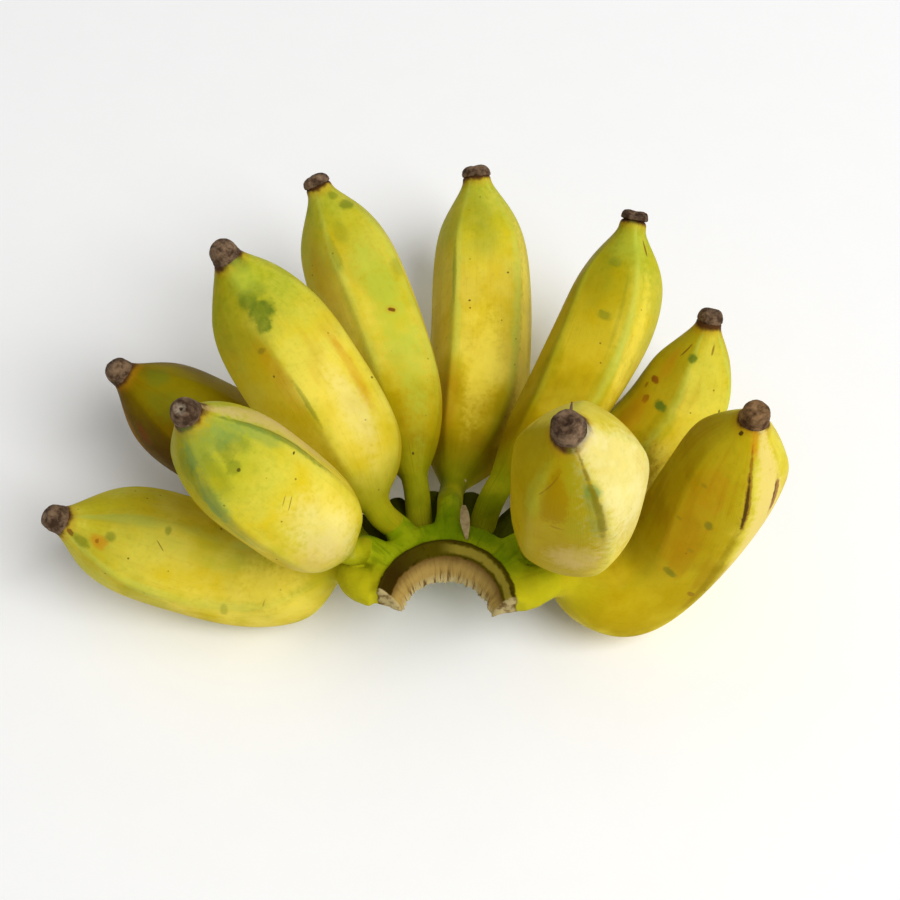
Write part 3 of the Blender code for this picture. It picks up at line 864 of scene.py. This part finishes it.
peelMarks = {
    "finger_01": [
        ("scar", 0.356, 99.8, 0.9, 1.5, 0.8, 30), ("amber", 0.317, 93, 2.2, 2.6, 0.8),
        ("rust", 0.317, 93.4, 0.8, 0.6, 0.6), ("green", 0.361, 97, 1.8, 3, 0.65),
        ("green", 0.278, 90.7, 1.7, 1.7, 0.6), ("speck", 0.261, 75.8, 0.25, 2.4, 0.6, 40),
        ("green", 0.217, 74.6, 1.4, 1.3, 0.6), ("scar", 0.389, 31.8, 0.3, 2.2, 0.6, -50),
        ("green", 0.411, 47.6, 2.6, 1.8, 0.4), ("teal", 0.205, 88, 2, 13, 0.3),
        ("speck", 0.328, 83.9, 0.4, 0.4, 0.7), ("lime", 0.25, 50, 5, 26, 0.4),
        # the gold spot on its side is painted light
        ("paintedLightGold", 0.33, 30, 9, 11, 0.75)],
    "finger_02": [
        # the large brown mark is painted shade on its lower side
        ("brownShade", 0.54, 80, 11, 26, 0.6), ("rust", 0.5, 89.9, 2.4, 4.5, 0.6, 20),
        ("amber", 0.6, 92, 4, 9, 0.3), ("green", 0.217, 97.5, 4, 4, 0.55), ("green", 0.33, 92, 4.5, 7, 0.35),
        ("green", 0.27, 86, 3, 8, 0.25)],
    "finger_03": [
        ("blush", 0.92, 60, 6, 24, 0.85), ("green", 0.133, 71.4, 2.6, 3.6, 0.6, 10),
        ("green", 0.15, 67, 2.4, 2.4, 0.55), ("speck", 0.144, 65.6, 0.7, 0.6, 0.75),
        ("green", 0.08, 70.5, 3, 4.4, 0.5, -20), ("teal", 0.294, 73, 1.7, 4.5, 0.7),
        ("green", 0.3, 66.8, 2.2, 6, 0.5), ("teal", 0.29, 59, 1.8, 6, 0.6), ("teal", 0.3, 47, 1.2, 9, 0.4),
        ("green", 0.34, 71, 3, 5, 0.45), ("teal", 0.122, 75, 3.6, 4, 0.45),
        # the scar and green lines along its upper ridge paint its dark shadow band
        ("scar", 0.982, 54, 0.35, 24, 0.5), ("green", 0.99, 60, 1.5, 22, 0.75),
        ("scar", 0.95, 31, 0.35, 9, 0.4, 6), ("speck", 0.122, 46.5, 0.2, 2.8, 0.6, 62),
        ("speck", 0.127, 48.6, 0.2, 2, 0.5, 62), ("speck", 0.011, 54.1, 0.6, 0.45, 0.9),
        # the pale mark low on it is a painted highlight
        ("speck", 0.283, 34.8, 0.45, 0.4, 0.9), ("paleSpotAndHighlight", 0.12, 30, 9, 16, 0.35),
        ("teal", 0.25, 77, 4.5, 8, 0.4), ("teal", 0.27, 62, 3.2, 10, 0.6), ("teal", 0.28, 48, 2, 9, 0.35),
        ("green", 0.22, 68, 3.5, 7, 0.4), ("teal", 0.05, 74, 3.5, 5, 0.5), ("teal", 0.01, 66, 2.5, 8, 0.5),
        ("blush", 0.2, 27, 9, 9, 0.4)],
    "finger_04": [
        ("green", 0.169, 79.8, 4.6, 4.6, 1), ("green", 0.188, 75.4, 2.8, 3.4, 0.95),
        ("green", 0.197, 84.8, 3.2, 3.6, 0.8), ("green", 0.14, 86, 3, 3, 0.45),
        ("green", 0.231, 67.8, 1.5, 1.4, 0.7), ("green", 0.097, 93, 2.6, 3, 0.5),
        ("green", 0.23, 89.7, 2.4, 3, 0.25), ("lime", 0.16, 92, 4, 7, 0.4),
        ("amber", 0.042, 50, 1.8, 12, 0.6), ("amber", 0.23, 58, 3, 14, 0.45),
        ("amber", 0.053, 41.3, 1.5, 7, 0.4), ("speck", 0.242, 58.7, 0.4, 0.5, 0.8),
        ("green", 0.203, 46, 0.8, 9, 0.5), ("speck", 0.003, 43.8, 0.5, 0.4, 0.7),
        # the pale mark low on it is a painted highlight
        ("paleSpotAndHighlight", 0.1, 38, 5, 16, 0.3)],
    "finger_05": [
        ("lime", 0.09, 66, 8, 42, 0.7), ("amber", 0.088, 70.9, 2.4, 1.8, 0.4),
        ("scar", 0.088, 70.9, 1.5, 0.9, 0.9, 15), ("green", 0.027, 109.6, 2.8, 2, 0.85),
        ("green", 0.05, 113.5, 2, 1.5, 0.6), ("green", 0.01, 84.6, 2.6, 4, 0.35),
        ("green", 0.141, 102.7, 3, 4.5, 0.35), ("amber", 0.28, 88, 5, 20, 0.3),
        ("green", 0.19, 96, 1.4, 9, 0.5), ("speck", 0.141, 23.4, 0.4, 0.4, 0.8)],
    "finger_06": [
        ("green", 0.13, 121, 6, 7, 0.3), ("green", 0.1, 112, 5, 9, 0.2), ("speck", 0.033, 100, 0.4, 0.4, 0.8),
        ("speck", 0.156, 89.5, 0.4, 0.4, 0.8), ("speck", 0.05, 83, 0.3, 0.35, 0.7),
        # the tiny pale spot by its stalk is its own colour; the gold marks are painted light on its right and
        # middle facets
        ("paleSpotAndHighlight", 0.961, 26.7, 0.6, 0.5, 1), ("amber", 0.2, 52, 4, 16, 0.4),
        ("green", 0.205, 100, 1, 14, 0.45), ("paintedLightGold", 0.94, 80, 4.5, 36, 0.9), ("paintedLightGold", 0.1, 64, 6, 24, 0.6)],
    "finger_07": [
        ("green", 0.34, 90, 5, 16, 0.2), ("scar", 0.118, 102.8, 0.5, 2.6, 0.8),
        ("green", 0.286, 77.2, 2.8, 2, 0.6), ("green", 0.3, 97, 2.4, 2, 0.5),
        ("speck", 0.16, 84, 0.4, 0.4, 0.6), ("green", 0.235, 80, 0.7, 20, 0.25),
        # the gold streak is painted light
        ("paintedLightGold", 0.14, 78, 3, 18, 0.5), ("lime", 0.25, 104, 5, 7, 0.4)],
    "finger_08": [
        ("rust", 0.117, 80.2, 2.4, 2, 0.85, 20), ("rust", 0.106, 71.3, 1.7, 2.2, 0.7),
        ("rust", 0.14, 76, 0.8, 1.8, 0.6), ("scar", 0.053, 94.8, 0.4, 3, 0.75, 20),
        ("green", 0.998, 93.4, 1.7, 1.6, 0.95), ("green", 0.04, 72.5, 2.8, 2.4, 1),
        # the large olive mark is painted shade where the ninth and tenth fingers shadow it
        ("scar", 0.883, 97, 0.4, 2.2, 0.65, 20), ("oliveShade", 0.97, 46, 13, 17, 0.85),
        ("speck", 0.832, 81.2, 0.4, 0.6, 0.7), ("amber", 0.11, 62, 5, 12, 0.45),
        ("amber", 0.1, 88, 3, 8, 0.4)],
    "finger_09": [
        # the cream mark is a painted highlight on its right facet
        ("paintedHighlightCream", 0.7, 72, 12.5, 36, 0.55), ("moss", 0.87, 72, 5.5, 20, 0.4), ("blush", 0.88, 44, 8, 9, 0.55),
        ("wet", 0.94, 72, 4.2, 10.5, 0.95), ("rust", 0.93, 61.6, 2.2, 0.5, 0.4, 8),
        # the olive and green lines along its ridge are painted shade
        ("teal", 0.819, 75, 2.4, 2.6, 0.8), ("lime", 0, 72, 3, 9, 0.35), ("oliveShade", 0.82, 70, 1.2, 17, 0.9),
        ("green", 0.83, 68, 2.4, 13, 0.4), ("scar", 0.96, 76, 0.25, 5, 0.4, 30)],
    "finger_10": [
        # the bright facet mark is painted light on its right facet, and the olive line along its ridge is
        # painted shade
        ("paintedLitFacet", 0.925, 84, 7, 50, 0.75), ("oliveShade", 0.02, 70, 1.4, 22, 0.5),
        ("amber", 0, 115.8, 1.1, 4.5, 0.9), ("rust", 0.01, 101, 1, 16, 0.65),
        ("speck", 0.012, 98, 0.6, 12, 0.8), ("rust", 0.895, 98, 1.5, 8, 0.85, 8),
        ("speck", 0.9, 100, 0.5, 5, 0.7, 8), ("green", 0.101, 87.1, 1.5, 1.9, 0.75),
        ("green", 0.142, 60.2, 2.6, 2.2, 0.75), ("green", 0.184, 83.7, 0.9, 0.8, 0.6),
        ("green", 0.152, 99.6, 1.2, 0.8, 0.6), ("speck", 0.125, 115.9, 0.8, 0.8, 0.9),
        ("scar", 0.04, 56.8, 1.7, 1.2, 0.5), ("green", 0.12, 74, 1.4, 1, 0.4),
        ("amber", 0.16, 78, 8, 22, 0.3), ("amber", 0.12, 100, 5, 9, 0.4)],
}


def buildMarkGroup():  # a ragged spot on the finger's map: 1 inside, 0 outside
    group, given = newGroup("peel mark", dict(Vector="map centre halfSize lean",
                                              Float="perTurn ragged patchy soft strength"), dict(Float="mask"))
    away = calcPlace("SUBTRACT", given["map"], given["centre"])
    wrapped = calcPlace("WRAP", away, (0.5, 99, 1), (-0.5, -99, -1))
    inMm = calcPlace("MULTIPLY", wrapped, join(given["perTurn"], 100.0))
    shifted = lay("ShaderNodeMapping", {"Vector": inMm, "Rotation": given["lean"], "Scale": given["halfSize"]},
                  vector_type="TEXTURE")
    far, soft = calcPlace("LENGTH", shifted, output=1), given["soft"]
    mask = (far - 0.55 + given["ragged"] * 1.1).fade(soft * -0.25 + 0.6, soft * 0.25 + 1.0)
    thin = given["patchy"].fade(0.36, 0.6, 0.4) * soft
    put(group, "NodeGroupOutput", {"mask": mask * (1.0 - thin) * given["strength"]})
    return group


def buildPeelGroup():
    group, given = newGroup("banana peel", dict(Vector="place map", Float="ridges stalk length seed "
                                                + " ".join(usualPeel)),
                            dict(Color="colour", Float="rough height ragged patchy"))
    turn, reach, _ = split(given["map"])
    along, angle = reach * 100.0, turn * (2 * math.pi)
    place = calcPlace("ADD", given["place"], join(given["seed"], given["seed"]))
    broad, patches = mottle(place, 42, 2), mottle(place, 75)
    medium, ragged = mottle(place, 130, 4, 0.6), mottle(place, 620, 3, 0.6)
    # fine fibres that run along the finger
    tube = join(calc("COSINE", angle), calc("SINE", angle), reach)
    fibres = mottle(stretch(tube, (14, 14, 2.2)), 3, 4, 0.65)
    streaks = mottle(stretch(tube, (4, 4, 2.4), (3, 1, 0)), 1.6, 3, 0.5)
    # green at the tip, in patches on the sides and beside each ridge, which is a pale green line
    wave = calc("COSINE", angle * given["ridges"])
    fromTip = given["length"] - along
    beside = (wave + (patches - 0.5) * 1.6).ramp(0.2, 1.0)
    nearTip = (fromTip + patches * 36.0).fade(22, 66)
    green = calc("MAXIMUM", beside * given["ridgeGreen"] * 0.6, nearTip * given["tipGreen"])
    green = calc("MAXIMUM", green, broad.ramp(0.42, 0.64) * given["sideGreen"])
    green = green * medium.ramp(0.3, 0.62, 0.7, 1.0)
    green = calc("MULTIPLY", green, ragged.ramp(0.35, 0.65, 0.92, 1.08), clamp=True)
    warm = (broad + streaks * 0.4).ramp(0.66, 0.84) * given["amber"]
    crest = (wave + (medium - 0.5) * 0.5).ramp(0.8, 0.985) * broad.ramp(0.35, 0.6, 0.45, 1.0)
    colour = layered(peelTones, peelTones["ripe"], [
        (patches.ramp(0.35, 0.68), "deep"), (warm, "amber"), (green, "green"),
        (crest * given["ridgeGreen"], "ridge")])
    # painted shade: olive towards the end at the stalk, darker all over on fingers that lie in the others'
    # shadow, and darker on the turn that faces away from the light, with the blue taken out where it is deepest
    shadeNearStalk = (along - patches * 24.0 - given["stalk"]).fade(-12, 34) * given["low"]
    facing = calc("COSINE", angle - given["shadeTurn"] * (2 * math.pi))
    shaded = (facing + (medium - 0.5) * 0.6).ramp(0.08, 0.5) * given["shade"]
    shadedAllOver = broad.ramp(0.3, 0.7, 0.8, 1.1) * given["dull"]
    deepestPaintedShade = calc("MAXIMUM", calc("MAXIMUM", shadeNearStalk, shaded), shadedAllOver)
    colour = mix(calc("MULTIPLY", deepestPaintedShade, 1.8, clamp=True), colour, peelTones["shadow"], "MULTIPLY")
    colour = layered(peelTones, colour, [(shadeNearStalk, "low"), (shaded, "low"), (shadedAllOver, "dull")])
    stalk = layered(peelTones, peelTones["stalkDark"], [
        (patches.ramp(0.36, 0.64), "stalk"), (fibres.ramp(0.5, 0.66, 0.0, 0.55), "stalkStreak"),
        (medium.ramp(0.3, 0.6, 0.6, 1.0) * given["stalkRipe"], "stalkRipe")])
    colour = mix((along - medium * 10.0 - given["stalk"]).fade(-7, 9), colour, stalk)
    # few small brown freckles, and a scorched edge at the dried end
    cells = put(group, "ShaderNodeTexVoronoi", {"Vector": place, "Scale": 290.0})
    chosen = lay("ShaderNodeSeparateColor", {0: cells["Color"]}).ramp(0.82, 0.85)
    freckle = (cells["Distance"] + ragged * 0.12).fade(0.11, 0.18) * chosen * 0.7
    edge = fromTip - medium * 5.0 - given["scorch"]
    colour = layered(peelTones, colour, [
        (fibres.ramp(0.54, 0.74, 0.0, 0.12), "shade"), (ragged.ramp(0.5, 0.72, 0.0, 0.09), "shade"),
        (freckle, "freckle"), (edge.fade(-1.0, 2.2, 0.55), "singe"), (edge.fade(-1.4, 0.2), "scorch")])
    height = medium * 0.5 + fibres * 0.35 + mottle(place, 2200, 2, 0.5) * 0.14 - freckle * 0.2
    put(group, "NodeGroupOutput", {"colour": colour, "rough": medium.ramp(0.3, 0.7, 0.36, 0.5),
                                   "height": height, "ragged": ragged, "patchy": medium})
    return group


def buildDriedGroup():  # the crumpled brown of dead tissue, with a pale ring round a dark hole in its pit
    group, given = newGroup("dried tissue", dict(Vector="place", Float="pit", Color="dark light"),
                            dict(Color="colour", Float="height"))
    folds = mottle(given["place"], 620, 5, 0.62, 0.4)
    tint = mottle(given["place"], 210, 3, 0.6) * 0.8 + folds * 0.6
    colour = mix(tint.ramp(0.55, 0.92), given["dark"], given["light"])
    colour = mix((given["pit"] + folds * 0.8).ramp(0.9, 1.3, 0.0, 0.7), colour, (166, 150, 128))
    colour = mix(given["pit"].ramp(0.82, 0.92), colour, given["dark"])
    put(group, "NodeGroupOutput", {"colour": colour, "height": folds})
    return group


def peelMaterial(name, skeletons, peelGroup, markGroup):
    skeleton, stalkLength = skeletons[name]
    material, tree, where = newMaterial("peel of " + name)
    peel = useGroup(tree, peelGroup, {
        **usualPeel, **peelLook[name], "place": where["Object"], "map": where["UV"],
        "ridges": fingerPlan[name]["ridges"], "stalk": stalkLength, "length": skeleton[-1][3],
        "seed": 0.37 * int(name[-2:])})
    colour = peel["colour"]
    along, radii = [row[3] for row in skeleton], [row[2] for row in skeleton]
    for kind, turn, place, halfWidth, halfLength, strength, *lean in peelMarks[name]:
        mask = useGroup(tree, markGroup, {
            "map": where["UV"], "centre": (turn, place / 100, 0.0),
            "perTurn": 2 * math.pi * float(np.interp(place, along, radii)),
            "halfSize": (halfWidth, halfLength, 1.0), "lean": (0.0, 0.0, math.radians(sum(lean))),
            "ragged": peel["ragged"], "patchy": peel["patchy"], "soft": markSoftness.get(kind, 1.0),
            "strength": strength})["mask"]
        colour = mix(mask, colour, markTones[kind])
    return shade(material, colour, peel["rough"], 0.02, peel["height"], 0.4, 0.6)


crownTones = {
    "skin": (162, 176, 16), "skinDark": (126, 152, 4), "skinStreak": (94, 120, 4), "skinRipe": (202, 184, 26),
    "valleyShade": (44, 38, 4), "rim": (66, 54, 8), "band": (82, 72, 2), "bandDark": (52, 38, 2),
    "stripe": (158, 142, 48), "fibre": (178, 148, 78), "fibreDark": (104, 76, 30),
    "fibrePale": (200, 184, 130), "flesh": (184, 166, 112), "fleshSpot": (104, 76, 38),
}


def crownMaterial():
    plan, tones = crownPlan, crownTones
    material, tree, where = newMaterial("cut crown")
    x, y, height = split(stretch(where["Object"], (1 / mm, 1 / mm, 1 / mm), -crownAxis))
    radius, azimuth = calc("SQRT", x * x + y * y), calc("ARCTAN2", y, x) * math.degrees(1)
    rough, broad = mottle(where["Object"], 420, 4, 0.6), mottle(where["Object"], 110)
    fibres = mottle(join(azimuth * 0.3, height * 0.1, radius * 0.1), 1, 5, 0.65)
    wobble = radius - 0.7 + rough * 1.4
    fromEnds = calc("MINIMUM", azimuth - plan["ends"][0], plan["ends"][1] - azimuth)
    # outer skin, riper towards both ends, with painted shade low down in the valleys between the stalks
    skin = layered(tones, tones["skinDark"], [
        (broad.ramp(0.36, 0.62), "skin"), (fibres.ramp(0.48, 0.66, 0.0, 0.5), "skinStreak"),
        (rough.ramp(0.54, 0.7, 0.0, 0.4), "skinStreak"),
        ((fromEnds + broad * 30.0).fade(20, 52, 0.7), "skinRipe"),
        ((height - broad * 3.0).fade(26, 32.5, 0.9) * height.ramp(22.5, 26), "valleyShade")])
    # the band inside the rim: dark to the left, a pale stripe to the right
    rim = plan["rim"] + 0.1
    band = layered(tones, tones["bandDark"], [
        (azimuth.ramp(150, 100), "band"), (rough.ramp(0.52, 0.68, 0.0, 0.7), "bandDark"),
        (azimuth.ramp(100, 76) * calc("ABSOLUTE", wobble - 16.9).fade(0.5, 1.2), "stripe")])
    colour = mix(wobble.ramp(rim, rim + 0.9), band, skin)
    colour = mix(calc("ABSOLUTE", wobble - rim).fade(0.2, 0.65, 0.6), colour, tones["rim"])
    # the knife cut: brown below its lip, paler and creased at its lower edge
    cut, lip = plan["cut"], plan["top"] - plan["bevel"]
    torn = layered(tones, tones["fibre"], [
        ((height - rough * 2.0).ramp(lip - 5, lip), "fibreDark"),
        (height.fade(lip - 9, lip - 5, 0.75), "fibrePale"),
        (fibres.fade(0.36, 0.52) * height.fade(lip - 8, lip - 3, 1.0, 0.3), "fibreDark")])
    onCut = wobble.fade(cut - 0.2, cut + 0.3) * height.ramp(plan["bottom"] - 2, plan["bottom"] + 1)
    colour = mix(onCut, colour, torn)
    atEnd = (fromEnds + rough * 3.0).fade(2.4, 4.0) * wobble.fade(rim - 0.3, rim + 0.7)
    flesh = mix(rough.ramp(0.44, 0.66, 0.0, 0.9), tones["flesh"], tones["fleshSpot"])
    colour = mix(atEnd, colour, flesh)
    lift = rough + fibres * (onCut * 1.2 + 0.1)
    return shade(material, colour, rough.ramp(0.3, 0.7, 0.45, 0.7), 0.02, lift, 0.45, 0.5)


def driedMaterial(name, driedGroup, dark, light, depth):
    material, tree, where = newMaterial(name)
    pit = put(tree, "ShaderNodeAttribute", attribute_name="pit")["Fac"]
    dried = useGroup(tree, driedGroup, {"place": where["Object"], "pit": pit, "dark": tone(*dark),
                                        "light": tone(*light)})
    return shade(material, dried["colour"], 0.8, 0.12, dried["height"], 0.7, depth)


def dress(piece, material):
    piece.data.materials.clear()
    piece.data.materials.append(material)


# The studio: pale floor and sky, one large soft light at the front right, a weak one at the back left
studio = {
    "camera": (0.011505, -0.256379, 0.440692), "tilt": 30.0, "lens": 65.0, "sensor": 36.0, "near": 0.01,
    "key": dict(place=(1.35, -0.8, 2.0), size=1.9, power=55.5),
    "fill": dict(place=(-1.2, 0.9, 1.9), size=2.0, power=3.0), "lightsAim": (0, 0, 0.03),
    "sky": 0.34, "floor": (253, 253, 253), "floorGrain": (231, 231, 231), "floorSize": 6.0,
    "floorGap": 0.00005,
}


def addLight(name, place, size, power):
    lamp = bpy.data.lights.new(name, "AREA")
    lamp.shape, lamp.size, lamp.energy = "DISK", size, power
    light = bpy.data.objects.new(name, lamp)
    light.location = place
    light.rotation_euler = (Vector(studio["lightsAim"]) - Vector(place)).to_track_quat("-Z", "Y").to_euler()
    bpy.context.scene.collection.objects.link(light)


def makeFloor():
    deselectAll()
    bpy.ops.mesh.primitive_plane_add(size=studio["floorSize"], location=(0, 0, -studio["floorGap"]))
    floor = newest("floor")
    bpy.ops.object.transform_apply(location=True)
    material, tree, where = newMaterial("pale floor")
    grain = mottle(where["Object"], 60).ramp(0.3, 0.7, 0.0, 0.04)
    fill(tree, tree.nodes["Principled BSDF"], {"Base Color": mix(grain, studio["floor"], studio["floorGrain"]),
                                               "Roughness": 0.7})
    dress(floor, material)


def makeStudio():
    makeFloor()
    scene = bpy.context.scene
    scene.view_settings.view_transform = "Standard"
    scene.world = bpy.data.worlds.new("studio")
    scene.world.use_nodes = True
    fill(scene.world.node_tree, scene.world.node_tree.nodes["Background"], {"Color": (1, 1, 1, 1),
                                                                           "Strength": studio["sky"]})
    addLight("key", **studio["key"])
    addLight("fill", **studio["fill"])
    lens = bpy.data.cameras.new("camera")
    lens.lens, lens.sensor_width, lens.clip_start = studio["lens"], studio["sensor"], studio["near"]
    camera = bpy.data.objects.new("camera", lens)
    camera.location = studio["camera"]
    camera.rotation_euler = (math.radians(studio["tilt"]), 0.0, 0.0)
    scene.collection.objects.link(camera)
    scene.camera = camera


skeletons = {name: fingerSkeleton(finger) for name, finger in fingerPlan.items()}
peelGroup, markGroup, driedGroup = buildPeelGroup(), buildMarkGroup(), buildDriedGroup()
blossomMaterial = driedMaterial("dried blossom", driedGroup, blossomPlan["dark"], blossomPlan["light"], 0.4)
paleBlossomMaterial = driedMaterial("pale dried blossom", driedGroup, blossomPlan["paleDark"],
                                    blossomPlan["paleLight"], 0.4)
scaleMaterial = driedMaterial("dried scale", driedGroup, scalePlan["dark"], scalePlan["light"], 0.2)
print("finishes ready")

for name, finger in fingerPlan.items():
    dress(makeFinger(name, skeletons), peelMaterial(name, skeletons, peelGroup, markGroup))
    blossom = makeBlossomEnd(name, finger, skeletons[name][0])
    dress(blossom, paleBlossomMaterial if name == "finger_10" else blossomMaterial)
    print(name, "made")

dress(makeCrown(), crownMaterial())
print("crown made")
dress(makeScale(), scaleMaterial)
dress(makeThread(fingerPlan["finger_09"], skeletons["finger_09"][0]), blossomMaterial)
makeStudio()
print("scale, thread and studio made")
